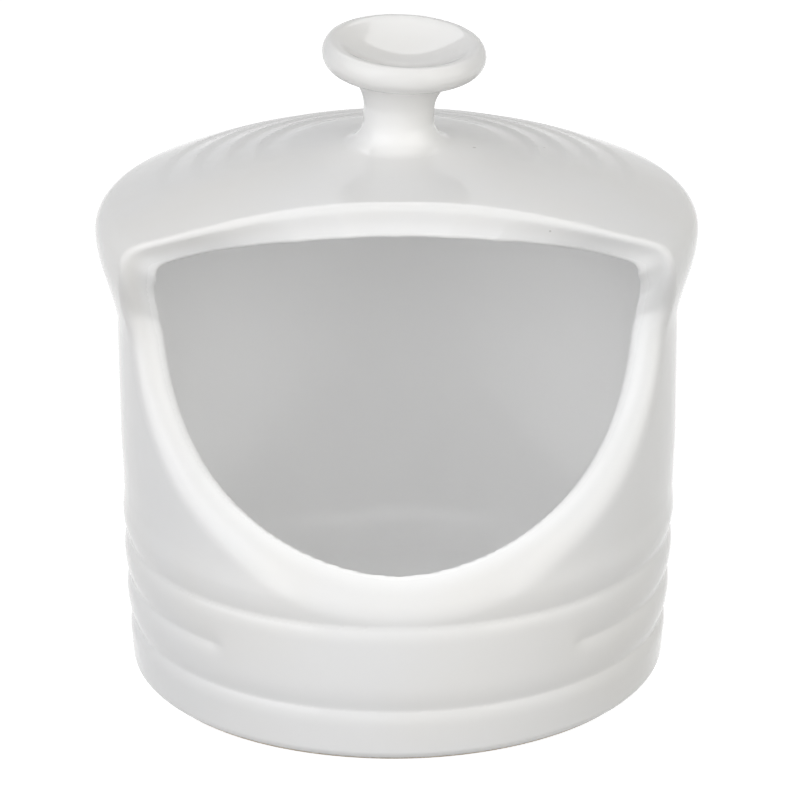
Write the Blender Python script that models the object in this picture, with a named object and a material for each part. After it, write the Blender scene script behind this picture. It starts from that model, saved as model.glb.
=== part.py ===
"""Salt crock: a ribbed stoneware body with a scooped mouth, under a domed hood with a dished knob.

Four pieces of clay, joined by luting: the body, the hood on a rebate round the body's top,
the knob on a spigot in the crown, and a bare foot under the base. The gap between two pieces is
the thickness of the slip that joins them. Metres, +Z up, origin on the body's axis at the table,
front towards -Y.
"""

import math

import bmesh
import bpy
from mathutils import Matrix, Vector

# Body: wall, ribs, floor
WALL_RADIUS = 0.0588
BASE_TAPER = 0.0019            # how much the base is drawn in from the wall
TAPER_HEIGHT = 0.0500          # the wall widens up to here, then runs upright
WALL_THICKNESS = 0.0060
FLOOR_THICKNESS = 0.0035
FLOOR_FILLET = 0.0090
PLINTH_HEIGHT = 0.0100         # plain band under the lowest groove
EDGE_ROUNDING = 0.0010
GROOVE_COUNT = 3
LOWEST_GROOVE_RISE = 0.0017    # above the plinth
GROOVE_PITCH = 0.0094
GROOVE_DEPTH = 0.0007
GROOVE_HALF_WIDTH = 0.0038
GROOVE_ROWS = 4                # rows of points from one groove to the next
WALL_ROW_SHARES = (1, 0.7, 0.4)        # inner wall, of the climb from the floor to the taper's end
PLAIN_PANEL_ANGLE = math.radians(42)   # each side of the front, where the middle groove stops
PANEL_FADE_ANGLE = math.radians(5)

# Hood: cove under the rim, rounded shoulder, rippled dome
SEAM_HEIGHT = 0.0790           # top of the body, where the hood starts
TONGUE_HEIGHT = 0.0030
TONGUE_SHARE = 0.5             # of the wall's thickness
RIM_FLARE = 0.0040             # how far the rim stands out beyond the wall
COVE_HEIGHT = 0.0180           # seam to rim
COVE_POWER_SHARE = 1.45        # fullness of the cove's curve
SHOULDER_RADIUS = 0.0060
SHOULDER_ANGLE = math.radians(67)
DOME_RISE = 0.0148
DOME_POWER_SHARE = 1.75        # fullness of the dome's curve
INNER_CORNER_REACH = 0.0050
COVE_ROW_SHARES = (0.85, 0.65, 0.45, 0.3, 0.15)    # of the climb from the seam to the rim
INNER_ROW_SHARES = (0.35, 0.7, 1)      # of the climb from the rebate to the inner corner
CEILING_ROW_SHARES = (1, 0.75, 0.5, 0.25, 0)       # of the way out to the inner corner
RIPPLE_INSETS = (0.0301, 0.0206, 0.0119)       # in from the dome's edge
RIPPLE_DEPTH = 0.0004
RIPPLE_HALF_WIDTH = 0.0030
RIPPLE_FRONT_ANGLE = math.radians(75)  # the ripples die out this far from the front
RIPPLE_FADE_ANGLE = math.radians(20)

# Mouth: its outer edge, on the wall and on the dome
SILL_HEIGHT = 0.0370
MOUTH_SIDE_DROP = 0.0120       # below the rim, where the scoop's sides turn upright
MOUTH_SIDE_ANGLE = math.radians(67)
SILL_POWER_SHARE = 1.7         # fullness of the scoop, 2 would be an ellipse
SILL_STEPS = 14
MOUTH_SIDE_SHARES = (0.35, 0.7, 1)     # of the climb from the scoop to the rim
HOOD_SETBACK = 0.0334          # front of the hood, from the axis
HOOD_CORNER_INSET = 0.0010     # the corner's place on the shoulder, in from the rim
HOOD_CORNER_SETBACK = 0.0049
HOOD_CORNER_POWER_SHARE = 6    # how late the hood's edge turns back
HOOD_EDGE_SHARES = (1, 0.93, 0.85, 0.72, 0.58, 0.44, 0.3, 0.15, 0)     # of the way to its corner
CUT_FOCUS_Y = -0.0050          # the cut's surface points at this place inside the hollow
CUT_FOCUS_HEIGHT = 0.0600
CUT_OVERRUN = 0.0200

# Knob: stem and dished button
STEM_RADIUS = 0.0073
STEM_HEIGHT = 0.0057           # crown to the narrowest place
KNOB_FOOT_RADIUS = 0.0118
KNOB_FOOT_EDGE = 0.0005
STEM_TURN_SHARES = (0.25, 0.5, 0.75, 1)            # of the quarter turn from foot to stem
NECK_FLARE = 0.0011            # the stem widens again up to the button
NECK_ROW_SHARES = (0.5, 1)     # of the climb from the narrowest place to the button
BUTTON_RADIUS = 0.0169
BUTTON_HEIGHT = 0.0172         # crown to the button's widest place
BUTTON_RIM_ROUNDING = 0.0036
BUTTON_DEPTH = 0.0079          # widest place down to the top of the stem
UNDERSIDE_POWER_SHARE = 1.45   # fullness of the button's underside
UNDERSIDE_ROW_SHARES = (0.3, 0.65, 1)              # of the way out from the stem to the rim
DISH_RADIUS = 0.0085
DISH_DEPTH = 0.0045            # below the rim's crest
DISH_WALL_SHARE = 0.5          # of the dish's depth, left halfway down its wall
DISH_EDGE_SHARE = 0.125        # of the dish's depth, left where its floor starts
SPIGOT_RADIUS = 0.0040
SOCKET_DEPTH = 0.0030
KNOB_LEAN_RIGHT = math.radians(3.7)    # set by hand, so it leans a little
KNOB_LEAN_FRONT = math.radians(5.4)
KNOB_SHIFT_RIGHT = 0.0007              # at the button

# Foot: bare clay under the base
FOOT_INSET = 0.0006
FOOT_HEIGHT = 0.0008
FOOT_SPIGOT_INSET = 0.0089
FOOT_SPIGOT_HEIGHT = 0.0008
FOOT_CHAMFER = 0.0003

SLIP_GAP = 0.0003              # between two luted pieces
MERGE_DISTANCE = 0.000001
SHARP_ANGLE = math.radians(40)
ROUND_STEPS = 64
KNOB_STEPS = 40
ARC_STEPS = 5
EDGE_STEPS = 2

BASE_RADIUS = WALL_RADIUS - BASE_TAPER
FOOT_SPIGOT_RADIUS = BASE_RADIUS - FOOT_SPIGOT_INSET
LOWEST_GROOVE_HEIGHT = PLINTH_HEIGHT + LOWEST_GROOVE_RISE
RIB_TOP = LOWEST_GROOVE_HEIGHT + GROOVE_COUNT * GROOVE_PITCH
BODY_BASE_HEIGHT = FOOT_HEIGHT + SLIP_GAP
RECESS_HEIGHT = FOOT_HEIGHT + FOOT_SPIGOT_HEIGHT + SLIP_GAP
FLOOR_HEIGHT = RECESS_HEIGHT + FLOOR_THICKNESS
RIM_RADIUS = WALL_RADIUS + RIM_FLARE
RIM_HEIGHT = SEAM_HEIGHT + COVE_HEIGHT
MOUTH_SIDE_HEIGHT = RIM_HEIGHT - MOUTH_SIDE_DROP
SHOULDER_CENTRE_RADIUS = RIM_RADIUS - SHOULDER_RADIUS
DOME_RADIUS = SHOULDER_CENTRE_RADIUS + SHOULDER_RADIUS * math.cos(SHOULDER_ANGLE)
DOME_BASE_HEIGHT = RIM_HEIGHT + SHOULDER_RADIUS * math.sin(SHOULDER_ANGLE)
CROWN_HEIGHT = DOME_BASE_HEIGHT + DOME_RISE
RIPPLE_RADII = [DOME_RADIUS - inset for inset in RIPPLE_INSETS]
TONGUE_RADIUS = WALL_RADIUS - WALL_THICKNESS * TONGUE_SHARE


def smooth_step(low, high, value):
    """0 below low, 1 above high, with an even turn between."""
    share = min(max((value - low) / (high - low), 0), 1)
    return share * share * (3 - 2 * share)


def arc(centre_r, centre_z, radius, start, end, steps=ARC_STEPS):
    """Points (r, z) on an arc from the angle start to the angle end, both ends included."""
    points = []
    for i in range(steps + 1):
        turn = start + (end - start) * i / steps
        points.append((centre_r + radius * math.cos(turn), centre_z + radius * math.sin(turn)))
    return points


def taper_radius(z):
    """Outer radius of the wall with no groove in it."""
    fall = max(1 - z / TAPER_HEIGHT, 0) ** 2
    return WALL_RADIUS - (WALL_RADIUS - BASE_RADIUS) * fall


def cove_radius(z):
    """Outer radius of the hood from the seam up to its rim."""
    climb = min(max((z - SEAM_HEIGHT) / (RIM_HEIGHT - SEAM_HEIGHT), 0), 1)
    reach = math.sin(math.pi / 2 * climb ** COVE_POWER_SHARE)
    return WALL_RADIUS + (RIM_RADIUS - WALL_RADIUS) * reach


def dome_height(r):
    """Outer height of the dome, and of the rounded shoulder outside it."""
    if r > DOME_RADIUS:
        out = min(r - SHOULDER_CENTRE_RADIUS, SHOULDER_RADIUS)
        return RIM_HEIGHT + math.sqrt(SHOULDER_RADIUS ** 2 - out ** 2)
    return DOME_BASE_HEIGHT + DOME_RISE * (1 - (r / DOME_RADIUS) ** DOME_POWER_SHARE)


def front_angle(x, y):
    """Angle from the front of the crock, 0 to half a turn."""
    return abs(math.atan2(x, -y))


def hollow(away, half_width, depth):
    """Depth of a rounded hollow at a distance from its middle."""
    share = min(abs(away) / half_width, 1)
    return depth * (1 + math.cos(math.pi * share)) / 2


def groove_depth(z, angle):
    """Depth of the ribs' grooves at a height; the middle one stops at the plain front panel."""
    depth = 0
    for i in range(GROOVE_COUNT):
        height = LOWEST_GROOVE_HEIGHT + i * GROOVE_PITCH
        dip = hollow(z - height, GROOVE_HALF_WIDTH, GROOVE_DEPTH)
        if i == GROOVE_COUNT // 2:
            dip *= smooth_step(PLAIN_PANEL_ANGLE - PANEL_FADE_ANGLE, PLAIN_PANEL_ANGLE, angle)
        depth = max(depth, dip)
    return depth


def ripple_depth(r, angle):
    """Depth of the dome's ripples at a radius; they die out towards the front."""
    depth = max(hollow(r - radius, RIPPLE_HALF_WIDTH, RIPPLE_DEPTH) for radius in RIPPLE_RADII)
    return depth * smooth_step(RIPPLE_FRONT_ANGLE - RIPPLE_FADE_ANGLE, RIPPLE_FRONT_ANGLE, angle)


def material(name, colour, roughness):
    """One plain finish for one piece."""
    made = bpy.data.materials.new(name)
    made.use_nodes = True
    shader = made.node_tree.nodes["Principled BSDF"]
    shader.inputs["Base Color"].default_value = (*colour, 1)
    shader.inputs["Roughness"].default_value = roughness
    shader.inputs["Metallic"].default_value = 0
    return made


def place(name, shape, finish):
    """Turn a bmesh into a smooth-shaded object of this name."""
    bmesh.ops.recalc_face_normals(shape, faces=shape.faces)
    mesh = bpy.data.meshes.new(name)
    shape.to_mesh(mesh)
    shape.free()
    mesh.shade_smooth()
    mesh.set_sharp_from_angle(angle=SHARP_ANGLE)
    piece = bpy.data.objects.new(name, mesh)
    bpy.context.collection.objects.link(piece)
    if finish:
        mesh.materials.append(finish)
    return piece


def turned(outline, steps):
    """Spin an outline of (r, z) points, from axis to axis, into one closed shape."""
    shape = bmesh.new()
    corners = [shape.verts.new((r, 0, z)) for r, z in outline]
    edges = [shape.edges.new(pair) for pair in zip(corners, corners[1:])]
    bmesh.ops.spin(shape, geom=corners + edges, cent=(0, 0, 0), axis=(0, 0, 1),
                   angle=math.tau, steps=steps, use_merge=True)
    bmesh.ops.remove_doubles(shape, verts=shape.verts, dist=MERGE_DISTANCE)
    return shape


def body_outline():
    """Half section of the body, from the base's recess round to the floor of the hollow."""
    low, high = BODY_BASE_HEIGHT, SEAM_HEIGHT + TONGUE_HEIGHT
    recess = FOOT_SPIGOT_RADIUS + SLIP_GAP
    points = [(0, RECESS_HEIGHT), (recess, RECESS_HEIGHT), (recess, low)]
    points += arc(BASE_RADIUS - EDGE_ROUNDING, low + EDGE_ROUNDING, EDGE_ROUNDING,
                  -math.pi / 2, 0, EDGE_STEPS)
    points.append((BASE_RADIUS, PLINTH_HEIGHT))
    rows = GROOVE_ROWS * GROOVE_COUNT
    for i in range(rows + 1):
        z = LOWEST_GROOVE_HEIGHT + (RIB_TOP - LOWEST_GROOVE_HEIGHT) * i / rows
        points.append((taper_radius(z), z))
    points += [(WALL_RADIUS, TAPER_HEIGHT), (WALL_RADIUS, SEAM_HEIGHT)]
    points += [(TONGUE_RADIUS, SEAM_HEIGHT), (TONGUE_RADIUS, high)]
    points.append((WALL_RADIUS - WALL_THICKNESS, high))
    for share in WALL_ROW_SHARES:
        z = FLOOR_HEIGHT + (TAPER_HEIGHT - FLOOR_HEIGHT) * share
        points.append((taper_radius(z) - WALL_THICKNESS, z))
    bend_height = FLOOR_HEIGHT + FLOOR_FILLET
    bend_radius = taper_radius(bend_height) - WALL_THICKNESS - FLOOR_FILLET
    points += arc(bend_radius, bend_height, FLOOR_FILLET, 0, -math.pi / 2)
    points.append((0, FLOOR_HEIGHT))
    return points


def hood_outline():
    """Half section of the hood, from the socket's floor over the dome and back under it."""
    socket = SPIGOT_RADIUS + SLIP_GAP
    socket_floor = CROWN_HEIGHT - SOCKET_DEPTH
    points = [(0, socket_floor), (socket, socket_floor), (socket, dome_height(socket))]
    edges = [KNOB_FOOT_RADIUS]
    for radius in RIPPLE_RADII:
        edges += [radius - RIPPLE_HALF_WIDTH, radius, radius + RIPPLE_HALF_WIDTH]
    points += [(r, dome_height(r)) for r in edges]
    points.append(((edges[-1] + DOME_RADIUS) / 2, dome_height((edges[-1] + DOME_RADIUS) / 2)))
    points += arc(SHOULDER_CENTRE_RADIUS, RIM_HEIGHT, SHOULDER_RADIUS, SHOULDER_ANGLE, 0)
    foot = SEAM_HEIGHT + SLIP_GAP
    for share in COVE_ROW_SHARES:
        z = foot + (RIM_HEIGHT - foot) * share
        points.append((cove_radius(z), z))
    points.append((WALL_RADIUS, foot))
    rebate = TONGUE_RADIUS + SLIP_GAP
    ledge = foot + TONGUE_HEIGHT
    points += [(rebate, foot), (rebate, ledge), (cove_radius(ledge) - WALL_THICKNESS, ledge)]
    corner = RIM_HEIGHT - INNER_CORNER_REACH
    for share in INNER_ROW_SHARES:
        z = ledge + (corner - ledge) * share
        points.append((cove_radius(z) - WALL_THICKNESS, z))
    inner_edge = cove_radius(corner) - WALL_THICKNESS - INNER_CORNER_REACH
    for share in CEILING_ROW_SHARES:
        points.append((inner_edge * share, dome_height(inner_edge * share) - WALL_THICKNESS))
    return points


def knob_outline():
    """Half section of the knob, from the spigot's end round the button to its dish."""
    seat = CROWN_HEIGHT + SLIP_GAP
    stem = CROWN_HEIGHT + STEM_HEIGHT
    wide = CROWN_HEIGHT + BUTTON_HEIGHT
    neck = wide - BUTTON_DEPTH
    crest = BUTTON_RADIUS - BUTTON_RIM_ROUNDING
    foot = dome_height(KNOB_FOOT_RADIUS) + SLIP_GAP
    spigot_end = seat - SOCKET_DEPTH
    points = [(0, spigot_end), (SPIGOT_RADIUS, spigot_end), (SPIGOT_RADIUS, seat)]
    points += [(KNOB_FOOT_RADIUS, foot), (KNOB_FOOT_RADIUS, foot + KNOB_FOOT_EDGE)]
    flare = KNOB_FOOT_RADIUS - STEM_RADIUS
    climb = stem - foot - KNOB_FOOT_EDGE
    for share in STEM_TURN_SHARES:
        angle = math.pi / 2 * share
        points.append((KNOB_FOOT_RADIUS - flare * math.sin(angle),
                       stem - climb * math.cos(angle)))
    for share in NECK_ROW_SHARES:
        points.append((STEM_RADIUS + NECK_FLARE * share ** 2, stem + (neck - stem) * share))
    under = STEM_RADIUS + NECK_FLARE
    for share in UNDERSIDE_ROW_SHARES:
        rise = 1 - (1 - share) ** UNDERSIDE_POWER_SHARE
        points.append((under + (crest - under) * share,
                       neck + (BUTTON_DEPTH - BUTTON_RIM_ROUNDING) * rise))
    points += arc(crest, wide, BUTTON_RIM_ROUNDING, -math.pi / 4, math.pi / 2)
    dish = wide + BUTTON_RIM_ROUNDING - DISH_DEPTH
    middle = (crest + DISH_RADIUS) / 2
    points += [(middle, dish + DISH_DEPTH * DISH_WALL_SHARE),
               (DISH_RADIUS, dish + DISH_DEPTH * DISH_EDGE_SHARE), (0, dish)]
    return points


def foot_outline():
    """Half section of the bare foot: a flat flange with a low spigot on it."""
    rim = BASE_RADIUS - FOOT_INSET
    top = FOOT_HEIGHT + FOOT_SPIGOT_HEIGHT
    return [(0, 0), (rim - FOOT_CHAMFER, 0), (rim, FOOT_CHAMFER), (rim, FOOT_HEIGHT),
            (FOOT_SPIGOT_RADIUS, FOOT_HEIGHT), (FOOT_SPIGOT_RADIUS, top), (0, top)]


def mouth_edge():
    """Points along half of the mouth's outer edge, from the sill's middle to the hood's middle."""
    points = []
    drop = MOUTH_SIDE_HEIGHT - SILL_HEIGHT
    for i in range(SILL_STEPS + 1):
        turn = math.pi / 2 * i / SILL_STEPS
        angle = MOUTH_SIDE_ANGLE * math.sin(turn) ** (2 / SILL_POWER_SHARE)
        z = MOUTH_SIDE_HEIGHT - drop * math.cos(turn) ** (2 / SILL_POWER_SHARE)
        r = cove_radius(z)
        points.append(Vector((r * math.sin(angle), -r * math.cos(angle), z)))
    corner_y = HOOD_SETBACK - HOOD_CORNER_SETBACK
    corner_x = math.sqrt((RIM_RADIUS - HOOD_CORNER_INSET) ** 2 - corner_y ** 2)
    corner_angle = math.atan2(corner_x, corner_y)
    for share in MOUTH_SIDE_SHARES:
        z = MOUTH_SIDE_HEIGHT + (RIM_HEIGHT - MOUTH_SIDE_HEIGHT) * share
        angle = MOUTH_SIDE_ANGLE + (corner_angle - MOUTH_SIDE_ANGLE) * share
        r = cove_radius(z)
        points.append(Vector((r * math.sin(angle), -r * math.cos(angle), z)))
    for share in HOOD_EDGE_SHARES:
        x = corner_x * share
        y = HOOD_SETBACK - HOOD_CORNER_SETBACK * share ** HOOD_CORNER_POWER_SHARE
        points.append(Vector((x, -y, dome_height(math.hypot(x, y)))))
    return points


def mouth_cutter():
    """A plug with the mouth's outline, narrowing to a point inside the hollow."""
    focus = Vector((0, CUT_FOCUS_Y, CUT_FOCUS_HEIGHT))
    half = mouth_edge()
    mirrored = [Vector((-p.x, p.y, p.z)) for p in reversed(half[1:-1])]
    shape = bmesh.new()
    tip = shape.verts.new(focus)
    front = shape.verts.new((0, -RIM_RADIUS - 2 * CUT_OVERRUN, CUT_FOCUS_HEIGHT + CUT_OVERRUN))
    ring = []
    for point in half + mirrored:
        out = (point - focus).normalized()
        ring.append(shape.verts.new(point + out * CUT_OVERRUN))
    for a, b in zip(ring, ring[1:] + ring[:1]):
        shape.faces.new((tip, a, b))
        shape.faces.new((front, b, a))
    cutter = place("mouth_cutter", shape, None)
    cutter.hide_render = True
    cutter.display_type = "WIRE"
    return cutter


def cut(piece, cutter):
    """Take the cutter's space out of the piece."""
    step = piece.modifiers.new("mouth", "BOOLEAN")
    step.operation = "DIFFERENCE"
    step.solver = "EXACT"
    step.object = cutter


def press_grooves(shape):
    """Push the ribs' grooves into the outer wall."""
    for vert in shape.verts:
        r = math.hypot(vert.co.x, vert.co.y)
        on_wall = PLINTH_HEIGHT < vert.co.z < TAPER_HEIGHT
        if on_wall and r > taper_radius(vert.co.z) - WALL_THICKNESS / 2:
            depth = groove_depth(vert.co.z, front_angle(vert.co.x, vert.co.y))
            vert.co.x *= (r - depth) / r
            vert.co.y *= (r - depth) / r


def press_ripples(shape):
    """Push the ripples into the top of the dome."""
    for vert in shape.verts:
        r = math.hypot(vert.co.x, vert.co.y)
        if KNOB_FOOT_RADIUS < r < DOME_RADIUS and vert.co.z > dome_height(r) - WALL_THICKNESS / 2:
            vert.co.z -= ripple_depth(r, front_angle(vert.co.x, vert.co.y))


def lean_knob(shape):
    """Lean the knob above its foot, as it was set by hand."""
    foot = Vector((0, 0, CROWN_HEIGHT))
    for vert in shape.verts:
        climb = smooth_step(0, BUTTON_HEIGHT, vert.co.z - CROWN_HEIGHT)
        turn = Matrix.Rotation(KNOB_LEAN_RIGHT * climb, 3, "Y")
        turn = Matrix.Rotation(KNOB_LEAN_FRONT * climb, 3, "X") @ turn
        vert.co = foot + turn @ (vert.co - foot)
        vert.co.x += KNOB_SHIFT_RIGHT * climb


def make_body(glaze, cutter):
    shape = turned(body_outline(), ROUND_STEPS)
    press_grooves(shape)
    body = place("crock_body", shape, glaze)
    cut(body, cutter)
    return body


def make_hood(glaze, cutter):
    shape = turned(hood_outline(), ROUND_STEPS)
    press_ripples(shape)
    hood = place("domed_hood", shape, glaze)
    cut(hood, cutter)
    return hood


def make_knob(glaze):
    shape = turned(knob_outline(), KNOB_STEPS)
    lean_knob(shape)
    return place("knob", shape, glaze)


def make_foot(clay):
    return place("foot_disc", turned(foot_outline(), ROUND_STEPS), clay)


def main():
    for old in list(bpy.data.objects):
        bpy.data.objects.remove(old)
    cutter = mouth_cutter()
    crock = bpy.data.objects.new("crock", None)
    bpy.context.collection.objects.link(crock)
    pieces = [
        make_body(material("body_glaze", (0.80, 0.80, 0.78), 0.12), cutter),
        make_hood(material("hood_glaze", (0.80, 0.80, 0.78), 0.12), cutter),
        make_knob(material("knob_glaze", (0.80, 0.80, 0.78), 0.12)),
        make_foot(material("bare_clay", (0.62, 0.50, 0.38), 0.85)),
    ]
    for piece in pieces:
        piece.parent = crock


main()
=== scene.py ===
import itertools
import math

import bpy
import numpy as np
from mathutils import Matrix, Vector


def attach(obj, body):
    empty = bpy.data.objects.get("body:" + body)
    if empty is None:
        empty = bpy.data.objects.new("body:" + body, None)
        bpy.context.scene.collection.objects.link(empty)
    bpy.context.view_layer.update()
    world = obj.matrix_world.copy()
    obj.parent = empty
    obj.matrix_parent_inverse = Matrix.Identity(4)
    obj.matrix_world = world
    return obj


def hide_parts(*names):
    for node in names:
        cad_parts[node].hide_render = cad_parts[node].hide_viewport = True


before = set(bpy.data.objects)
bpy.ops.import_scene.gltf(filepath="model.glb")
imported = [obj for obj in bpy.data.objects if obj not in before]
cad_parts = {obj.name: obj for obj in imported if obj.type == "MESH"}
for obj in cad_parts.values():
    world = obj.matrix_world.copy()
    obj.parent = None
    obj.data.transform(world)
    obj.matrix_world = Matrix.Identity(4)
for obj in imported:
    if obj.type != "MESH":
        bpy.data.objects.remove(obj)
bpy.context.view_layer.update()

# %% [markdown]
# # A glazed salt crock
#
# The real crock is stoneware: body, hood and knob are separate pieces of clay, luted together and
# then covered by one white glaze that runs over every joint and softens every edge. The CAD model
# keeps the pieces apart, so here one continuous skin of glaze stands for the three of them, and
# the bare clay of the foot is a piece of its own.
#
# A skin like this could be sculpted, or made from the solids with bevels, but each blend would then
# need its own edges. It is written here as a depth field instead: a function that says how far a
# point lies outside the clay, less than zero within it. Two shapes join with a fillet when their
# depths are blended, so the lip, the knob's foot and the inner corners are one line each.

MM = 0.001


def linear(colour):
    """sRGB hex to the linear values that a shader takes."""
    shares = [int(colour[i:i + 2], 16) / 255 for i in (1, 3, 5)]
    return [s / 12.92 if s <= 0.04045 else ((s + 0.055) / 1.055) ** 2.4 for s in shares]


def smooth_step(low, high, value):
    """0 below low, 1 above high, with an even turn between."""
    share = np.clip((value - low) / (high - low), 0, 1)
    return share * share * (3 - 2 * share)


# %% [markdown]
# ## Blending two depths
#
# The larger of two depths is what both shapes share, and the smaller is what either covers. Taken
# plainly these leave a sharp edge. Near the place where both are close to zero the distance to the
# rounded edge is a hypotenuse, which gives an arc of a true radius, as a wet sponge leaves on clay.

# %% Round blends
def overlap(a, b, radius):
    """What two shapes share, with the edge between them rounded."""
    return (np.minimum(np.maximum(a, b), -radius)
            + np.hypot(np.maximum(a + radius, 0), np.maximum(b + radius, 0)))


def joined(a, b, radius):
    """Two shapes together, with the corner between them filled."""
    return -overlap(-a, -b, radius)


print("corner of a 2 mm blend:", round(float(overlap(np.float64(0), np.float64(0), 2)), 2), "mm")

# %% [markdown]
# ## The wall and its pressed grooves
#
# The wall is drawn in a little at the base and runs upright above it, and the hood flares out of it
# in a cove. Three grooves are pressed round the foot of the wall, with rounded ribs between them.
# Each is a narrow line where two soft ribs meet, and it is lopsided: a rib swells out just under the
# groove above it and slopes in to the one below. The middle groove stops at a plain panel in front,
# and above the top rib the wall dips a little before it runs upright. All sizes of the skin are in
# millimetres.

# %% Wall
WALL_RADIUS = 58.8
BASE_RADIUS = 56.8
TAPER_HEIGHT = 45.0
SEAM_HEIGHT = 79.0
RIM_RADIUS = 62.8
RIM_HEIGHT = 97.0
COVE_POWER = 1.45
GROOVE_HEIGHTS = (11.7, 21.1, 30.5)
GROOVE_DEPTH = 0.9
GROOVE_REACH_DOWN = 3.9
GROOVE_REACH_UP = 6.0
GROOVE_ROUNDING = 0.08
GROOVE_POWER = 2.5
DIP_HEIGHT = 40.5
DIP_DEPTH = 0.35
DIP_REACH_DOWN = 5.5
DIP_REACH_UP = 14.0
PANEL_ANGLE = math.radians(42)
PANEL_FADE = math.radians(5)


def plain_wall(z):
    """Radius of the wall without its grooves."""
    drawn_in = (WALL_RADIUS - BASE_RADIUS) * np.clip(1 - z / TAPER_HEIGHT, 0, None) ** 2
    climb = np.clip((z - SEAM_HEIGHT) / (RIM_HEIGHT - SEAM_HEIGHT), 0, 1)
    flare = (RIM_RADIUS - WALL_RADIUS) * np.sin(math.pi / 2 * climb ** COVE_POWER)
    return WALL_RADIUS - drawn_in + flare


def reach_share(away, reach_below, reach_above):
    """Signed distance from a middle as a share of how far the trough reaches on that side."""
    return np.clip(np.where(away > 0, away / reach_above, -away / reach_below), 0, 1)


def trough(away, depth, reach_below, reach_above):
    """Depth of a soft, lopsided trough."""
    return depth * (1 + np.cos(math.pi * reach_share(away, reach_below, reach_above))) / 2


def groove(away):
    """Depth of a groove: two ribs that meet in a narrow line with a rounded bottom."""
    share = reach_share(away, GROOVE_REACH_DOWN, GROOVE_REACH_UP)
    narrowed = np.clip(np.hypot(share, GROOVE_ROUNDING), 0, 1)
    return GROOVE_DEPTH * (1 - narrowed) ** GROOVE_POWER


def grooves(z, angle):
    """Depth of the grooves at a height and an angle from the front."""
    depth = trough(z - DIP_HEIGHT, DIP_DEPTH, DIP_REACH_DOWN, DIP_REACH_UP)
    for height in GROOVE_HEIGHTS:
        dip = groove(z - height)
        if height == GROOVE_HEIGHTS[1]:
            dip = dip * smooth_step(PANEL_ANGLE - PANEL_FADE, PANEL_ANGLE, angle)
        depth = np.maximum(depth, dip)
    return depth


print("wall radius at base, seam and rim:", plain_wall(np.array([1.0, SEAM_HEIGHT, RIM_HEIGHT])).round(1))

# %% [markdown]
# ## The dome and its ripples
#
# The top is a low dome that turns down into the rim over a 6 mm shoulder. Four shallow ripples run
# round its back, as a throwing finger leaves them, and they fade out at both sides. They lie so
# close that each meets the next in a low ridge.

# %% Dome
SHOULDER = 6.0
SHOULDER_ANGLE = math.radians(67)
SHOULDER_R = RIM_RADIUS - SHOULDER
DOME_RADIUS = SHOULDER_R + SHOULDER * math.cos(SHOULDER_ANGLE)
DOME_BASE = RIM_HEIGHT + SHOULDER * math.sin(SHOULDER_ANGLE)
DOME_RISE = 12.5
DOME_POWER = 2.2
CROWN = DOME_BASE + DOME_RISE
RIPPLES = (27.0, 33.0, 40.0, 47.0)
RIPPLE_DEPTH = 0.45
RIPPLE_REACH_IN = 5.0
RIPPLE_REACH_OUT = 3.4
RIPPLE_START = math.radians(72)
RIPPLE_FULL = math.radians(98)


def plain_dome(r):
    """Height of the dome without its ripples."""
    return DOME_BASE + DOME_RISE * (1 - (np.clip(r, 1e-6, None) / DOME_RADIUS) ** DOME_POWER)


def ripples(r, angle):
    """Depth of the ripples at a radius and an angle from the front."""
    depth = np.zeros_like(r)
    for radius in RIPPLES:
        depth = np.maximum(depth, trough(r - radius, RIPPLE_DEPTH, RIPPLE_REACH_IN, RIPPLE_REACH_OUT))
    return depth * smooth_step(RIPPLE_START, RIPPLE_FULL, angle)


def outside(p):
    """Depth of the crock's outer form, taken as solid, without knob and mouth."""
    r = np.hypot(p[:, 0], p[:, 1])
    z = p[:, 2]
    angle = np.abs(np.arctan2(p[:, 0], -p[:, 1]))
    wall = r - plain_wall(z) + grooves(z, angle)
    top = (z - plain_dome(r) + ripples(r, angle)) * math.sin(SHOULDER_ANGLE)
    turn = np.hypot(r - SHOULDER_R, z - RIM_HEIGHT) - SHOULDER
    bend = np.arctan2(z - RIM_HEIGHT, r - SHOULDER_R)
    depth = np.where(bend < 0, wall, np.where(bend < SHOULDER_ANGLE, turn, top))
    return np.where(z < RIM_HEIGHT, np.maximum(wall, top), depth)


print("crown at", round(CROWN, 1), "mm")

# %% [markdown]
# ## How it came out of the kiln
#
# Hand-finished clay is never quite true. This crock's foot sits a little to the left of its wall,
# and its hood stands a little higher on the left. A point is moved back by as much before it is
# measured against the true form, so wall and hollow follow together.

# %% Warp
FOOT_SHIFT = -0.6
FOOT_SHIFT_HEIGHT = 45.0
HOOD_LIFT = 0.3
HOOD_LEAN = 0.005


def before_firing(p):
    """Points moved from the fired crock back to the true form."""
    shift = FOOT_SHIFT * np.clip(1 - p[:, 2] / FOOT_SHIFT_HEIGHT, 0, 1)
    raised = (HOOD_LIFT - HOOD_LEAN * p[:, 0]) * smooth_step(SEAM_HEIGHT, RIM_HEIGHT, p[:, 2])
    return np.stack([p[:, 0] - shift, p[:, 1], p[:, 2] - raised], 1)


print("hood is", round(2 * RIM_RADIUS * HOOD_LEAN, 1), "mm higher on the left")

# %% [markdown]
# ## The hollow
#
# The crock is cast, so its inside follows the outside one wall's thickness further in, but without
# the grooves. The corner at the floor is the softer one, because slip gathers there.

# %% Hollow
THICKNESS = 6.0
BASE_HEIGHT = 0.45
BASE_ROUNDING = 2.0
FLOOR_HEIGHT = 5.4
FLOOR_FILLET = 9.0
CEILING_FILLET = 2.2


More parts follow.
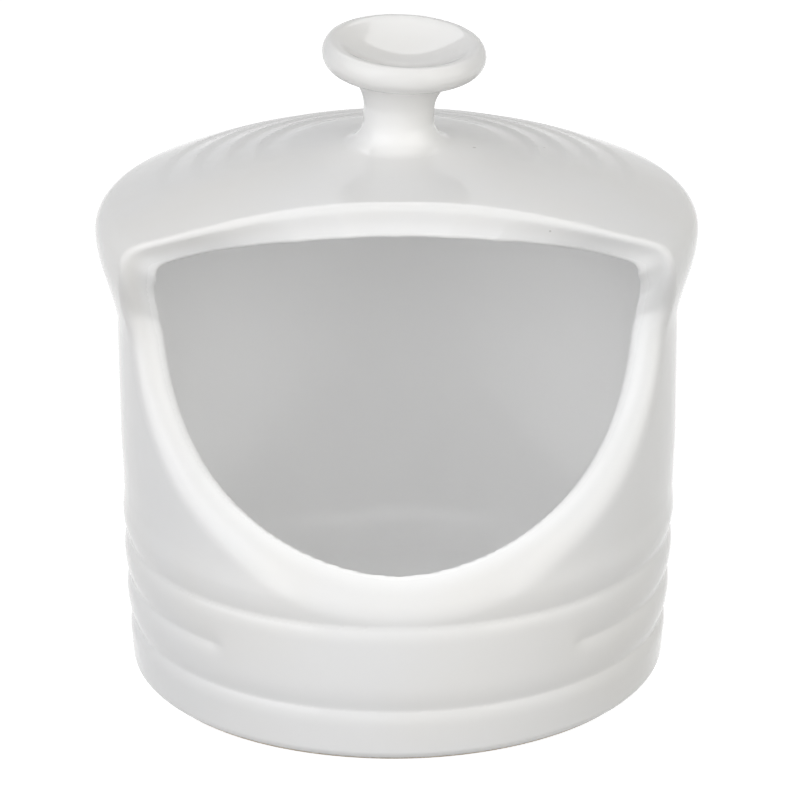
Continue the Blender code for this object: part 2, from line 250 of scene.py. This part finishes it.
def hollow(p):
    """Depth of the space inside, less than zero within it."""
    r = np.hypot(p[:, 0], p[:, 1])
    z = p[:, 2]
    wall = r - plain_wall(z) + THICKNESS
    ceiling = (z - plain_dome(r) + THICKNESS) * math.sin(SHOULDER_ANGLE)
    space = overlap(wall, ceiling, CEILING_FILLET)
    return overlap(space, FLOOR_HEIGHT - z, FLOOR_FILLET)


print("floor at", FLOOR_HEIGHT, "mm, inner radius", WALL_RADIUS - THICKNESS, "mm")

# %% [markdown]
# ## The mouth
#
# The mouth is cut through wall and hood with a wire: a scoop in the body and a straight front on the
# hood. Its lip faces the same way as the wall does, so every line across the lip points at a place
# deep inside. Seen from there the mouth is a closed ring round one direction, and each point of it
# is an angle away from that direction. Two rings are written down, where the lip meets the outside
# and where it meets the inside, and the cut at any depth lies between them. The lip is a little
# thicker than the wall, because the cut edge was pressed back to strengthen it.

# %% Mouth
FOCUS = np.array([0.0, -5.0, 60.0])
GAZE = math.radians(20)
SILL = 37.4
INNER_SILL = 39.4
SIDE_HEIGHT = 85.0
INNER_SIDE_HEIGHT = 83.3
SIDE_ANGLE = math.radians(64)
INNER_SIDE_ANGLE = math.radians(68.5)
SCOOP_POWER = 1.7
HOOD_FRONT = 32.4
HOOD_CORNER = (54.9, 28.5)
HOOD_CORNER_POWER = 6
INNER_HOOD_EDGE = ((49.4, 21.0, 86.0), (50.9, 22.6, 89.5), (51.5, 25.1, 93.0), (52.0, 28.4, 97.0),
                   (46.1, 27.6, 97.8), (37.7, 28.0, 99.8), (29.5, 29.6, 101.3),
                   (19.4, 31.6, 102.7), (10.0, 32.4, 103.5), (0.0, 32.5, 103.9))
LIP_THICKNESS = 7.3
LIP_REACH = 9.0
CUT_FROM, CUT_TO = -0.4, 1.4      # shares of the lip's thickness over which the cut keeps its slant
RING_STEPS = 720
OUTER_RING_BLUR = math.radians(1.8)
INNER_RING_BLUR = math.radians(0.4)


def scoop(sill, side_height, side_angle, inset):
    """Points of half a scoop on the wall, from the sill's middle up its side."""
    turn = np.linspace(0, math.pi / 2, 60)
    angle = side_angle * np.sin(turn) ** (2 / SCOOP_POWER)
    z = side_height - (side_height - sill) * np.cos(turn) ** (2 / SCOOP_POWER)
    r = plain_wall(z) - inset
    return np.stack([r * np.sin(angle), -r * np.cos(angle), z], 1)


def outer_edge():
    """Points of half the mouth's outer edge, from sill to hood."""
    side = scoop(SILL, SIDE_HEIGHT, SIDE_ANGLE, 0)
    corner_angle = math.atan2(*HOOD_CORNER)
    share = np.linspace(0, 1, 20)[1:]
    z = SIDE_HEIGHT + (RIM_HEIGHT - SIDE_HEIGHT) * share
    angle = SIDE_ANGLE + (corner_angle - SIDE_ANGLE) * share
    r = plain_wall(z)
    upright = np.stack([r * np.sin(angle), -r * np.cos(angle), z], 1)
    share = np.linspace(1, 0, 60)
    x = HOOD_CORNER[0] * share
    y = HOOD_FRONT - (HOOD_FRONT - HOOD_CORNER[1]) * share ** HOOD_CORNER_POWER
    r = np.hypot(x, y)
    along = np.clip(r - SHOULDER_R, 0, SHOULDER)
    rounded = RIM_HEIGHT + np.sqrt(np.clip(SHOULDER ** 2 - along ** 2, 0, None))
    z = np.where(r > DOME_RADIUS, rounded, plain_dome(r))
    front = np.stack([x, -y, z], 1)
    return np.concatenate([side, upright, front])


def inner_edge():
    """Points of half the mouth's inner edge, from sill to hood."""
    side = scoop(INNER_SILL, INNER_SIDE_HEIGHT, INNER_SIDE_ANGLE, THICKNESS)
    front = [(x, -y, z) for x, y, z in INNER_HOOD_EDGE]
    return np.concatenate([side, front])


def gaze_angles(p):
    """Roll round the gaze from straight up, and angle away from it, seen from the focus."""
    q = p - FOCUS
    far = np.linalg.norm(q, axis=1)
    ahead = (-q[:, 1] * math.cos(GAZE) + q[:, 2] * math.sin(GAZE)) / far
    up = (q[:, 1] * math.sin(GAZE) + q[:, 2] * math.cos(GAZE)) / far
    roll = np.arctan2(np.abs(q[:, 0]) / far, up)
    return roll, np.arccos(np.clip(ahead, -1, 1)), far


def ring(edge, blur):
    """An edge as angles away from the gaze at even steps of roll, with its corners softened."""
    roll, away, _ = gaze_angles(edge)
    order = np.argsort(roll)
    steps = np.linspace(0, math.pi, RING_STEPS + 1)
    angles = np.interp(steps, roll[order], away[order])
    reach = int(3 * blur / (math.pi / RING_STEPS))
    weights = np.exp(-0.5 * (np.arange(-reach, reach + 1) * math.pi / RING_STEPS / blur) ** 2)
    padded = np.concatenate([angles[reach:0:-1], angles, angles[-2:-reach - 2:-1]])
    return np.convolve(padded, weights / weights.sum(), "valid")


RING_ROLL = np.linspace(0, math.pi, RING_STEPS + 1)
OUTER_RING = ring(outer_edge(), OUTER_RING_BLUR)
INNER_RING = ring(inner_edge(), INNER_RING_BLUR)
RING_SLOPE = np.gradient(OUTER_RING, RING_ROLL)


def mouth(p, shell):
    """Depth of the mouth's opening, less than zero within it."""
    roll, away, far = gaze_angles(p)
    inward = np.clip(-shell / LIP_THICKNESS, CUT_FROM, CUT_TO)
    outer = np.interp(roll, RING_ROLL, OUTER_RING)
    inner = np.interp(roll, RING_ROLL, INNER_RING)
    slope = np.interp(roll, RING_ROLL, RING_SLOPE)
    lean = np.hypot(1, slope / np.clip(np.sin(away), 0.2, None))
    return (away - outer - inward * (inner - outer)) * far / lean


print("mouth is", round(2 * max(p[0] for p in outer_edge()), 1), "mm wide outside")

# %% [markdown]
# ## The knob
#
# The knob is a waisted stem under a button with a round rim. A wide, shallow bowl is scooped out of
# the button's top, nearly to its edge, and rounded over into the rim. The knob was pressed on by hand
# and leans a little to the right and to the front. The lean grows with height, so the knob's foot
# still sits square on the crown, and a point is turned back by as much before it is measured against
# the upright knob.

# %% Knob
STEM_RADIUS = 7.35
STEM_FILLET = 4.6
NECK_HEIGHT = 11.1
NECK_FILLET = 3.0
RIM_ROUNDING = 3.55
BUTTON_RADIUS = 16.9
BUTTON_HEIGHT = 19.5
CREST_RADIUS = BUTTON_RADIUS - RIM_ROUNDING
BUTTON_TOP = BUTTON_HEIGHT + RIM_ROUNDING
UNDERSIDE_POWER = 1.5
DISH_RADIUS = 15.3
DISH_DEPTH = 5.2
DISH_POWER = 2.0
DISH_SLOPE = 0.85
DISH_ROUNDING = 1.4
LEAN_RIGHT = math.radians(3.4)
LEAN_FRONT = math.radians(5.1)
FOOT_RIGHT = 0.45
SHIFT_RIGHT = 0.21


def knob(p):
    """Depth of the knob above the crown."""
    climb = smooth_step(0, BUTTON_HEIGHT, p[:, 2] - CROWN)
    x, y, h = p[:, 0] - FOOT_RIGHT - SHIFT_RIGHT * climb, p[:, 1], p[:, 2] - CROWN
    a, b = LEAN_FRONT * climb, LEAN_RIGHT * climb
    y, h = y * np.cos(a) + h * np.sin(a), h * np.cos(a) - y * np.sin(a)
    x, h = x * np.cos(b) - h * np.sin(b), h * np.cos(b) + x * np.sin(b)
    r = np.hypot(x, y)
    rim = np.hypot(r - CREST_RADIUS, h - BUTTON_HEIGHT) - RIM_ROUNDING
    out = np.clip((r - STEM_RADIUS) / (CREST_RADIUS - STEM_RADIUS), 0, 1)
    drop = (BUTTON_HEIGHT - RIM_ROUNDING - NECK_HEIGHT) * (1 - out) ** UNDERSIDE_POWER
    under = BUTTON_HEIGHT - RIM_ROUNDING - drop - h
    plate = np.maximum(np.maximum(h - BUTTON_TOP, under), r - CREST_RADIUS)
    stem = np.maximum(r - STEM_RADIUS, h - BUTTON_HEIGHT)
    dish = (h - BUTTON_TOP + DISH_DEPTH * (1 - (r / DISH_RADIUS) ** DISH_POWER)) * DISH_SLOPE
    return overlap(joined(np.minimum(rim, plate), stem, NECK_FILLET), dish, DISH_ROUNDING)


print("button top at", round(CROWN + BUTTON_TOP, 1), "mm before it leans")

# %% [markdown]
# ## One skin
#
# The whole crock is now one sum: form and knob joined, the hollow taken out, and the mouth cut. A
# thumb has drawn the scoop's lip down into the wall, so its outer edge is very soft, while the
# hood's front keeps its cut edge. Inside, the lip was only touched with a sponge and is nearly
# crisp. The base is flat, and turns up into the wall in a small curve.

# %% Whole field
SCOOP_ROUNDING = 7.0
HOOD_ROUNDING = 1.4
SOFT_BELOW = 84.0
CRISP_ABOVE = 98.0
INNER_LIP_ROUNDING = 1.2
KNOB_ZONE = CROWN - 12      # the knob reaches no lower than this
FAR_AWAY = 50.0


def crock(p):
    """Depth of the whole glazed crock at points in millimetres."""
    true = before_firing(p)
    form = outside(true)
    solid = joined(form, np.where(p[:, 2] > KNOB_ZONE, knob(p), FAR_AWAY), STEM_FILLET)
    solid = overlap(solid, BASE_HEIGHT - p[:, 2], BASE_ROUNDING)
    cut = -mouth(p, form)
    swell = (LIP_THICKNESS - THICKNESS) * np.exp(-(cut / LIP_REACH) ** 2)
    inside = -hollow(true) - swell
    crisp = smooth_step(SOFT_BELOW, CRISP_ABOVE, p[:, 2])
    rounding = SCOOP_ROUNDING + (HOOD_ROUNDING - SCOOP_ROUNDING) * crisp
    return np.maximum(overlap(solid, cut, rounding), overlap(inside, cut, INNER_LIP_ROUNDING))


print("clay at the back wall:", crock(np.array([[0.0, 56.0, 50.0]]))[0] < 0)

# %% [markdown]
# ## From field to mesh
#
# A net of quads is stretched over the field's zero surface: one point in each small cell that the
# surface passes through, and one quad across each cell edge whose ends lie on opposite sides. The
# points start at the cells' middles. They are then evened out and drawn onto the surface in turns,
# by the depth and its slope, until the net lies on it to a few micrometres.

# %% Net
CELL = 0.8
SLOPE_STEP = 0.02
CHUNK = 400000


def in_chunks(field, p):
    """The field at many points, a part at a time, to save memory."""
    return np.concatenate([field(p[i:i + CHUNK]) for i in range(0, len(p), CHUNK)])


def slope_of(field, p):
    """The field's slope at each point, from a small step each way."""
    steps = np.eye(3) * SLOPE_STEP
    return np.stack([in_chunks(field, p + s) - in_chunks(field, p - s) for s in steps], 1) / (2 * SLOPE_STEP)


def draw_on(field, p, turns):
    """Move points along the slope onto the zero surface."""
    for _ in range(turns):
        slope = slope_of(field, p)
        size = np.clip((slope ** 2).sum(1), 0.05, None)
        move = slope * (in_chunks(field, p) / size)[:, None]
        far = np.linalg.norm(move, axis=1, keepdims=True)
        p = p - move * np.minimum(1, CELL / np.clip(far, 1e-9, None))
    return p


def net(field, low, high):
    """Points and quads over the zero surface of a field within a box."""
    counts = np.ceil((high - low) / CELL).astype(int) + 1
    layer = np.indices((1, *counts[1:])).reshape(3, -1).T * CELL + low
    clay = np.stack([(field(layer + (i * CELL, 0, 0)) < 0).reshape(counts[1:]) for i in range(counts[0])])
    cells = counts - 1
    hits = sum(clay[i:i + cells[0], j:j + cells[1], k:k + cells[2]].astype(np.int8)
               for i, j, k in itertools.product((0, 1), repeat=3))
    crossed = (hits > 0) & (hits < 8)
    number = np.full(cells, -1)
    number[crossed] = np.arange(crossed.sum())
    points = (np.argwhere(crossed) + 0.5) * CELL + low
    quads = []
    for axis in range(3):
        ends = np.moveaxis(clay, axis, 0)
        table = np.moveaxis(number, axis, 0)
        change = ends[1:, 1:-1, 1:-1] != ends[:-1, 1:-1, 1:-1]
        i, j, k = np.nonzero(change)
        around = np.stack([table[i, j, k], table[i, j + 1, k], table[i, j + 1, k + 1], table[i, j, k + 1]], 1)
        turned = ends[i, j + 1, k + 1] ^ (axis == 1)
        quads.append(np.where(turned[:, None], around, around[:, ::-1]))
    return points, np.concatenate(quads)


def even_out(points, quads, turns, field):
    """Share the points out evenly along the surface."""
    a, b = quads.ravel(), np.roll(quads, 1, axis=1).ravel()
    links = np.bincount(a, minlength=len(points)) + np.bincount(b, minlength=len(points))
    for _ in range(turns):
        total = np.stack([np.bincount(a, points[b, c], len(points))
                          + np.bincount(b, points[a, c], len(points)) for c in range(3)], 1)
        points = draw_on(field, 0.5 * points + 0.5 * total / links[:, None], 1)
    return points


low = np.array([-66.0, -64.0, -2.0])
high = np.array([66.0, 66.0, 143.0])
points, quads = net(crock, low, high)
points = draw_on(crock, points, 3)
points = even_out(points, quads, 4, crock)
points = draw_on(crock, points, 2)
normals = slope_of(crock, points)
normals /= np.linalg.norm(normals, axis=1, keepdims=True)
print(len(points), "points,", len(quads), "quads, furthest off the surface",
      round(float(np.abs(in_chunks(crock, points)).max()), 4), "mm")

# %% [markdown]
# ## Inside and outside
#
# The glaze was poured in and out again to coat the hollow, and sprayed on outside. Inside, the glaze is
# painted whiter, as painted light for the light that reaches into the hollow, and it is set rougher. So each
# point keeps a share that says whether it is inside: 0 on the outside, 1 on the inside, with a soft change
# across the lip. Depth under the outer form gives it.

# %% Glazed crock
INSIDE_SHARE_FROM = 2.0
INSIDE_SHARE_FULL = 5.5

skin = bpy.data.meshes.new("glazed_crock")
skin.from_pydata(points * MM, [], quads.tolist())
skin.update()
skin.shade_smooth()
skin.normals_split_custom_set_from_vertices(normals)
# share of painted light and satin: 1 inside the hollow, where the glaze is painted whiter and set rougher
inside_painted_light_and_satin = smooth_step(INSIDE_SHARE_FROM, INSIDE_SHARE_FULL, -in_chunks(outside, before_firing(points)))
skin.attributes.new("inside_painted_light_and_satin", "FLOAT", "POINT").data.foreach_set("value", inside_painted_light_and_satin)
glazed_crock = bpy.data.objects.new("glazed_crock", skin)
bpy.context.scene.collection.objects.link(glazed_crock)
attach(glazed_crock, "root")
for node in ("crock_body", "domed_hood", "knob"):
    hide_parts(node)
print("glazed_crock:", len(skin.polygons), "faces")

# %% [markdown]
# ## Node helper
#
# Every finish is a small tree of nodes. One function adds a node, sets its values and links what
# feeds it, so a finish reads as a list of what happens to the surface.

# %% Add a node
def add(tree, kind, settings=None, inputs=None):
    """Add a node, set its properties, and give its inputs values or links."""
    node = tree.nodes.new(kind)
    for name, value in (settings or {}).items():
        setattr(node, name, value)
    for name, value in (inputs or {}).items():
        if isinstance(value, bpy.types.NodeSocket):
            tree.links.new(value, node.inputs[name])
        else:
            node.inputs[name].default_value = value
    return node


def new_finish(name):
    """An empty material with its output, ready for nodes."""
    finish = bpy.data.materials.new(name)
    finish.use_nodes = True
    finish.node_tree.nodes.clear()
    output = finish.node_tree.nodes.new("ShaderNodeOutputMaterial")
    return finish, finish.node_tree, output


print("helpers ready")

# %% [markdown]
# ## White tin glaze
#
# The glaze is a glossy, opaque white glass about half a millimetre thick, fired onto cream stoneware.
# Its colour comes from fine crystals in it, so light sinks in a little before it comes back, and the skin
# over it is clear and mirror smooth, with an index of refraction near 1.5. It isn't quite even: it pools
# cooler in thick places, the clay warms it where it runs thin, and a few dark specks of iron and pinholes
# show. Each is small, but without them the white looks like plastic. Inside the hollow the glaze is painted
# whiter, as painted light for the light that reaches in there, and the coat there cooled more slowly, so it
# is satin.

# %% Glaze
GLAZE = "#ECECEC"
GLAZE_WARM = "#ECEBE9"
# painted light: the glaze inside the hollow is painted whiter, standing in for light that reaches into it
INSIDE_PAINTED_WHITER = "#F9F9F9"
IRON_SPECK = "#8C8A86"
SPRAYED_ROUGHNESS = 0.09
POURED_ROUGHNESS = 0.28
CLOUD_SIZE = 38 * MM
SPECK_SPACING = 17 * MM
SPECK_STRENGTH = 0.35
ORANGE_PEEL_SIZE = 3.2 * MM


def white_glaze():
    finish, tree, output = new_finish("glossy white glaze on stoneware")
    place = add(tree, "ShaderNodeTexCoord").outputs["Object"]
    cloud = add(tree, "ShaderNodeTexNoise", {"noise_dimensions": "3D"},
                {"Vector": place, "Scale": 1 / CLOUD_SIZE, "Detail": 3.0, "Roughness": 0.45})
    warmth = add(tree, "ShaderNodeMapRange", None,
                 {"Value": cloud.outputs["Fac"], "From Min": 0.42, "From Max": 0.68})
    ground = add(tree, "ShaderNodeMix", {"data_type": "RGBA"},
                 {"Factor": warmth.outputs["Result"],
                  "A": (*linear(GLAZE), 1), "B": (*linear(GLAZE_WARM), 1)})
    inside_painted_light_and_satin = add(tree, "ShaderNodeAttribute", {"attribute_name": "inside_painted_light_and_satin"}).outputs["Fac"]
    # painted light: inside the hollow the colour is mixed to the whiter glaze, for light that reaches in
    colour_with_painted_inside_light = add(tree, "ShaderNodeMix", {"data_type": "RGBA"},
               {"Factor": inside_painted_light_and_satin, "A": ground.outputs["Result"], "B": (*linear(INSIDE_PAINTED_WHITER), 1)})
    satin = add(tree, "ShaderNodeMapRange", None,
                {"Value": inside_painted_light_and_satin, "To Min": SPRAYED_ROUGHNESS, "To Max": POURED_ROUGHNESS})
    cells = add(tree, "ShaderNodeTexVoronoi", {"feature": "F1"},
                {"Vector": place, "Scale": 1 / SPECK_SPACING, "Randomness": 1.0})
    lot = add(tree, "ShaderNodeSeparateColor", None, {"Color": cells.outputs["Color"]})
    rare = add(tree, "ShaderNodeMath", {"operation": "GREATER_THAN"}, {0: lot.outputs["Red"], 1: 0.5})
    size = add(tree, "ShaderNodeMapRange", None,
               {"Value": lot.outputs["Green"], "To Min": 0.012, "To Max": 0.03})
    inside = add(tree, "ShaderNodeMath", {"operation": "LESS_THAN"},
                 {0: cells.outputs["Distance"], 1: size.outputs["Result"]})
    speck = add(tree, "ShaderNodeMath", {"operation": "MULTIPLY"}, {0: rare.outputs[0], 1: inside.outputs[0]})
    speck = add(tree, "ShaderNodeMath", {"operation": "MULTIPLY"}, {0: speck.outputs[0], 1: SPECK_STRENGTH})
    colour = add(tree, "ShaderNodeMix", {"data_type": "RGBA"},
                 {"Factor": speck.outputs[0], "A": colour_with_painted_inside_light.outputs["Result"], "B": (*linear(IRON_SPECK), 1)})
    peel = add(tree, "ShaderNodeTexNoise", {"noise_dimensions": "3D"},
               {"Vector": place, "Scale": 1 / ORANGE_PEEL_SIZE, "Detail": 1.0, "Roughness": 0.4})
    bump = add(tree, "ShaderNodeBump", None,
               {"Height": peel.outputs["Fac"], "Strength": 1.0, "Distance": 0.012 * MM})
    glaze = add(tree, "ShaderNodeBsdfPrincipled", None,
                {"Base Color": colour.outputs["Result"], "Roughness": satin.outputs["Result"], "IOR": 1.5,
                 "Normal": bump.outputs["Normal"], "Subsurface Weight": 0.12,
                 "Subsurface Radius": (1.0, 1.0, 1.0), "Subsurface Scale": 0.8 * MM})
    tree.links.new(glaze.outputs["BSDF"], output.inputs["Surface"])
    return finish


skin.materials.append(white_glaze())
print("glaze on", glazed_crock.name)

# %% [markdown]
# ## Bare stoneware
#
# The foot is wiped clean of glaze, or the crock would stick to the kiln shelf. What shows is fired
# clay: matt, warm grey-beige, with fine dark grog and the faint rings of the wheel or the sponge.

# %% Foot
CLAY_PALE = "#D8CCBA"
CLAY_DARK = "#B3A18A"
GROG_SIZE = 0.9 * MM
SPONGE_RING_SPACING = 1.6 * MM


def bare_stoneware():
    finish, tree, output = new_finish("bare fired stoneware")
    place = add(tree, "ShaderNodeTexCoord").outputs["Object"]
    grog = add(tree, "ShaderNodeTexNoise", {"noise_dimensions": "3D"},
               {"Vector": place, "Scale": 1 / GROG_SIZE, "Detail": 4.0, "Roughness": 0.6})
    patch = add(tree, "ShaderNodeMapRange", None,
                {"Value": grog.outputs["Fac"], "From Min": 0.35, "From Max": 0.7})
    colour = add(tree, "ShaderNodeMix", {"data_type": "RGBA"},
                 {"Factor": patch.outputs["Result"],
                  "A": (*linear(CLAY_PALE), 1), "B": (*linear(CLAY_DARK), 1)})
    rings = add(tree, "ShaderNodeTexWave", {"wave_type": "RINGS", "rings_direction": "Z"},
                {"Vector": place, "Scale": 1 / SPONGE_RING_SPACING / math.tau,
                 "Distortion": 1.2, "Detail": 2.0})
    height = add(tree, "ShaderNodeMath", {"operation": "ADD"},
                 {0: rings.outputs["Fac"], 1: grog.outputs["Fac"]})
    bump = add(tree, "ShaderNodeBump", None,
               {"Height": height.outputs[0], "Strength": 1.0, "Distance": 0.06 * MM})
    clay = add(tree, "ShaderNodeBsdfPrincipled", None,
               {"Base Color": colour.outputs["Result"], "Roughness": 0.85, "IOR": 1.5,
                "Normal": bump.outputs["Normal"]})
    tree.links.new(clay.outputs["BSDF"], output.inputs["Surface"])
    return finish


print("bare stoneware ready")

# %% [markdown]
# ## The foot's shape
#
# The CAD foot is a plain disc. On the real one a wet sponge has rounded the edge, which wanders a
# little, and the middle is dished so that the crock doesn't rock. It is turned as rings of points, as
# on a wheel: from the middle of the underside out over the edge and up under the glaze.

# %% Bare foot
FOOT_RADIUS = 55.3
FOOT_WANDER = 0.12
FOOT_SECTION = ((0.0, 0.3), (0.35, 0.28), (0.7, 0.2), (0.84, 0.08), (0.89, 0.0), (0.99, 0.0),
                (0.997, 0.12), (1.0, 0.35), (0.997, 0.7), (0.97, 1.1))
FOOT_STEPS = 160


def turned_foot():
    """Points and faces of the foot, ring by ring."""
    turn = np.linspace(0, math.tau, FOOT_STEPS, endpoint=False)
    wander = FOOT_WANDER * (np.sin(2 * turn + 1) + 0.6 * np.sin(5 * turn) + 0.4 * np.sin(9 * turn + 2)) / 2
    rings = [np.stack([(FOOT_RADIUS + wander) * share * np.cos(turn) + FOOT_SHIFT,
                       (FOOT_RADIUS + wander) * share * np.sin(turn), np.full_like(turn, height)], 1)
             for share, height in FOOT_SECTION[1:]]
    centre = [[FOOT_SHIFT, 0.0, FOOT_SECTION[0][1]]]
    faces = [(0, 1 + (i + 1) % FOOT_STEPS, 1 + i) for i in range(FOOT_STEPS)]
    for ring, i in itertools.product(range(len(rings) - 1), range(FOOT_STEPS)):
        a, b = 1 + ring * FOOT_STEPS + i, 1 + ring * FOOT_STEPS + (i + 1) % FOOT_STEPS
        faces.append((a, b, b + FOOT_STEPS, a + FOOT_STEPS))
    faces.append(tuple(range(1 + (len(rings) - 1) * FOOT_STEPS, 1 + len(rings) * FOOT_STEPS)))
    return np.concatenate([centre, *rings]), faces


foot_points, foot_faces = turned_foot()
foot_mesh = bpy.data.meshes.new("bare_foot")
foot_mesh.from_pydata((foot_points * MM).tolist(), [], foot_faces)
foot_mesh.update()
foot_mesh.shade_smooth()
foot_mesh.materials.append(bare_stoneware())
bare_foot = bpy.data.objects.new("bare_foot", foot_mesh)
bpy.context.scene.collection.objects.link(bare_foot)
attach(bare_foot, "root")
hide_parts("foot_disc")
print("bare_foot:", len(foot_mesh.polygons), "faces")

# %% [markdown]
# ## Studio
#
# The crock stands on a white floor that has no end in view. White could come from more light on the
# floor, but that would wash out the glaze as well. Instead the paper is grey to the light that it
# throws back onto the crock, and has a glow on top that only the camera, reflections and rays that
# pass through something see. The lamps fall on the paper too, so the crock keeps a soft shadow.

# %% Floor and world
FLOOR_REACH = 3
PAPER = "#A2A2A2"
FLOOR_GLOW = 0.9
WHITE = 1.0
ROOM_LIGHT = 0.12


def seen(tree):
    """1 for rays from the camera, reflections and what is seen through, and 0 for the light itself."""
    rays = add(tree, "ShaderNodeLightPath")
    mirrored = add(tree, "ShaderNodeMath", {"operation": "MAXIMUM"},
                   {0: rays.outputs["Is Glossy Ray"], 1: rays.outputs["Is Transmission Ray"]})
    return add(tree, "ShaderNodeMath", {"operation": "MAXIMUM"},
               {0: rays.outputs["Is Camera Ray"], 1: mirrored.outputs[0]}).outputs[0]


def white_paper():
    finish, tree, output = new_finish("white paper floor")
    glow = add(tree, "ShaderNodeMath", {"operation": "MULTIPLY"}, {0: seen(tree), 1: FLOOR_GLOW})
    paper = add(tree, "ShaderNodeBsdfDiffuse", None, {"Color": (*linear(PAPER), 1)})
    bright = add(tree, "ShaderNodeEmission", None, {"Color": (1, 1, 1, 1), "Strength": glow.outputs[0]})
    both = add(tree, "ShaderNodeAddShader", None, {0: paper.outputs[0], 1: bright.outputs[0]})
    tree.links.new(both.outputs[0], output.inputs["Surface"])
    return finish


floor_mesh = bpy.data.meshes.new("paper_floor")
corners = [(x * FLOOR_REACH, y * FLOOR_REACH, 0) for x, y in ((-1, -1), (1, -1), (1, 1), (-1, 1))]
floor_mesh.from_pydata(corners, [], [(0, 1, 2, 3)])
floor_mesh.materials.append(white_paper())
floor = bpy.data.objects.new("paper_floor", floor_mesh)
bpy.context.scene.collection.objects.link(floor)

world = bpy.data.worlds.new("studio")
bpy.context.scene.world = world
world.use_nodes = True
world.node_tree.nodes.clear()
room = add(world.node_tree, "ShaderNodeBackground", None, {"Color": (1, 1, 1, 1), "Strength": ROOM_LIGHT})
blank = add(world.node_tree, "ShaderNodeBackground", None, {"Color": (1, 1, 1, 1), "Strength": WHITE})
sky = add(world.node_tree, "ShaderNodeMixShader", None,
          {0: seen(world.node_tree), 1: room.outputs[0], 2: blank.outputs[0]})
world_output = add(world.node_tree, "ShaderNodeOutputWorld", None, {"Surface": sky.outputs[0]})
print("floor and world ready")

# %% [markdown]
# ## Lamps
#
# The light is soft and comes mostly from the front: two softboxes at the sides, and between them
# three that are wide enough to leave no highlight of their own, so reflections don't see those. Two
# lamps above and behind lift the dome, and don't show either. Two snooted spots shine through the
# mouth onto the far side of the hollow. A card overhead shows as a soft patch in the knob's bowl. It
# is too dim to light the crock, so only reflections see it.

# %% Lamp helper
LAMP_DISTANCE = 1.2
CROCK_MIDDLE = Vector((0, 0, 0.07))
SNOOT_CONE = math.radians(2.8)
SNOOT_RADIUS = 0.06


def hang(lamp, around, up, target):
    """A lamp's object, aimed at a target, at degrees round from the front and up from the floor."""
    made = bpy.data.objects.new(lamp.name, lamp)
    a, e = math.radians(around), math.radians(up)
    away = Vector((math.sin(a) * math.cos(e), -math.cos(a) * math.cos(e), math.sin(e)))
    made.location = target + away * LAMP_DISTANCE
    made.rotation_euler = away.to_track_quat("Z", "Y").to_euler()
    bpy.context.scene.collection.objects.link(made)
    return made


def softbox(name, around, up, side, power, colour="#FFFFFF", lights=True, mirrored=True):
    """A square lamp aimed at the crock's middle."""
    lamp = bpy.data.lights.new(name, "AREA")
    lamp.shape = "SQUARE"
    lamp.size = side
    lamp.energy = power
    lamp.color = linear(colour)
    made = hang(lamp, around, up, CROCK_MIDDLE)
    made.visible_diffuse = lights
    made.visible_glossy = mirrored
    return made


def snooted_spot(name, around, up, target, power):
    """A lamp with a narrow, soft-edged cone."""
    lamp = bpy.data.lights.new(name, "SPOT")
    lamp.energy = power
    lamp.spot_size = SNOOT_CONE
    lamp.spot_blend = 1.0
    lamp.shadow_soft_size = SNOOT_RADIUS
    made = hang(lamp, around, up, target)
    made.visible_glossy = False
    return made


print("lamp helper ready")

# %% Lamps
softbox("front_left_softbox", -25, 25, 1.3, 4.3, mirrored=False)
softbox("front_softbox", 0, 25, 1.3, 2.0, mirrored=False)
softbox("front_right_softbox", 25, 25, 1.3, 3.6, mirrored=False)
softbox("left_softbox", -60, 25, 1.3, 6.0, "#FCFDFF")
softbox("right_softbox", 60, 25, 1.3, 4.8, "#FFFDF6")
softbox("top_left_lamp", -113, 62, 0.6, 1.0, mirrored=False)
softbox("top_right_lamp", 113, 62, 0.6, 0.7, mirrored=False)
snooted_spot("left_snoot", -40, 12, Vector((0.050, -0.005, 0.062)), 17.0)
snooted_spot("right_snoot", 40, 12, Vector((-0.050, -0.005, 0.062)), 16.0)
softbox("overhead_card", 180, 70, 1.1, 6.0, lights=False)
print("lamps ready")

# %% [markdown]
# ## Camera
#
# The view was worked out from the photo: the ellipses of the base and grooves give the tilt, and the
# way that they flatten towards the top gives the distance.

# %% Camera
camera_data = bpy.data.cameras.new("camera")
camera_data.lens = 192.0
camera_data.sensor_width = 36
camera = bpy.data.objects.new("camera", camera_data)
camera.location = (0.000394, -0.8439, 0.3829)
turn = Matrix.Rotation(math.radians(68.92), 4, "X") @ Matrix.Rotation(math.radians(-0.45), 4, "Z")
camera.rotation_euler = turn.to_euler()
bpy.context.scene.collection.objects.link(camera)
bpy.context.scene.camera = camera
bpy.context.scene.view_settings.view_transform = "Standard"
print("camera at", [round(c, 3) for c in camera.location])
